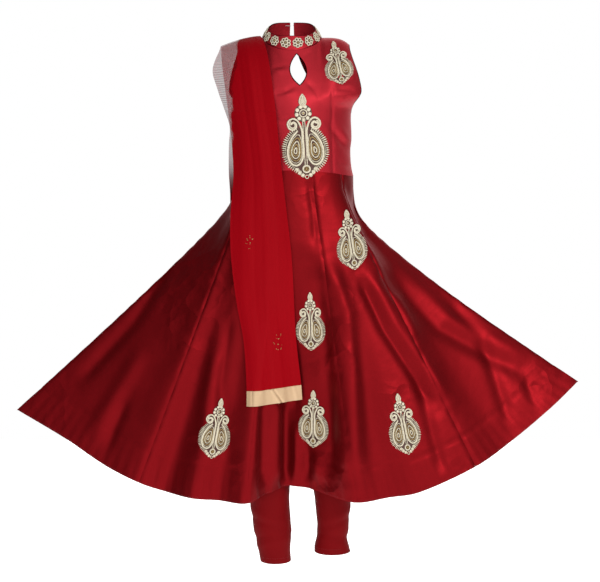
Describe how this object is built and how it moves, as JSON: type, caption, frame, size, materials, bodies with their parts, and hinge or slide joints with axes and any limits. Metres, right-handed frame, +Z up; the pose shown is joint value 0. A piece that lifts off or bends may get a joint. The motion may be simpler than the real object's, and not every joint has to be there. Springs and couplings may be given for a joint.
{
  "type": "salwar suit",
  "caption": "Girl's salwar suit filled out as worn: sleeveless flared kurta with embroidered patches, slim churidar and net dupatta over one shoulder.",
  "frame": {"origin": "middle of the shoulder line at the base of the neck, where the wearer's shoulders hold the suit", "axes": "+X to the viewer's right across the shoulders, -Y out of the chest, +Z up"},
  "size_m": [1.1292, 0.3086, 1.0837],
  "materials": {
    "bodice_satin": "satin",
    "skirt_taffeta": "satin",
    "churidar_knit": "matte",
    "dupatta_net": "matte",
    "border_satin": "satin",
    "embroidery": "satin",
    "hook_wire": "satin"
  },
  "bodies": {
    "root": {"bodice_back_left": "bodice_satin", "bodice_back_right": "bodice_satin", "bodice_front": "bodice_satin", "churidar_leg_left": "churidar_knit", "churidar_leg_right": "churidar_knit", "churidar_waistband": "churidar_knit", "collar": "bodice_satin", "collar_eye": "hook_wire", "collar_flower_01": "embroidery", "collar_flower_02": "embroidery", "collar_flower_03": "embroidery", "collar_flower_04": "embroidery", "collar_flower_05": "embroidery", "collar_flower_06": "embroidery", "collar_flower_07": "embroidery", "collar_flower_08": "embroidery", "collar_flower_09": "embroidery", "collar_flower_10": "embroidery", "collar_flower_11": "embroidery", "collar_flower_12": "embroidery", "collar_hook": "hook_wire", "dupatta_back": "dupatta_net", "dupatta_border_back": "border_satin", "dupatta_border_front": "border_satin", "dupatta_front": "dupatta_net", "dupatta_shoulder": "dupatta_net", "motif_chest": "embroidery", "motif_shoulder": "embroidery", "motif_skirt_1": "embroidery", "motif_skirt_2": "embroidery", "motif_skirt_3": "embroidery", "motif_skirt_4": "embroidery", "motif_skirt_5": "embroidery", "skirt_back_1": "skirt_taffeta", "skirt_back_2": "skirt_taffeta", "skirt_back_3": "skirt_taffeta", "skirt_back_4": "skirt_taffeta", "skirt_back_5": "skirt_taffeta", "skirt_front_1": "skirt_taffeta", "skirt_front_2": "skirt_taffeta", "skirt_front_3": "skirt_taffeta", "skirt_front_4": "skirt_taffeta", "skirt_front_5": "skirt_taffeta"}
  },
  "joints": []
}
